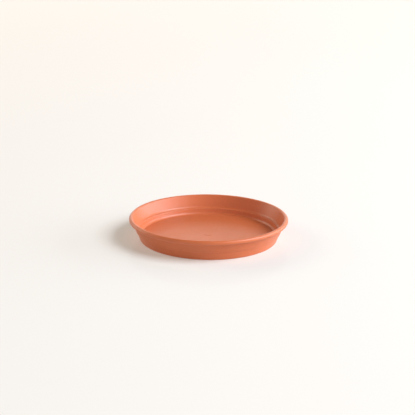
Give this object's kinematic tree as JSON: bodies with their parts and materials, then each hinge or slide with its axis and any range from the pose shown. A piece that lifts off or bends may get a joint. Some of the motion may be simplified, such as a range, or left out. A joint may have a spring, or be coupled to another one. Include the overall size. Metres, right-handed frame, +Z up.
{
  "type": "plant saucer",
  "caption": "Round one-piece moulded saucer with a flared, stepped wall, inside ledge, turned-down lip and foot ring, to stand a plant pot in.",
  "frame": {"origin": "centre of the foot ring, on the surface that the saucer stands on", "axes": "+Z up along the axis of revolution; X and Y are any two level directions"},
  "size_m": [0.2, 0.2, 0.028],
  "materials": {
    "terracotta_plastic": "terracotta-coloured moulded plastic with a soft satin sheen"
  },
  "bodies": {
    "root": {"saucer": "terracotta_plastic"}
  },
  "joints": []
}
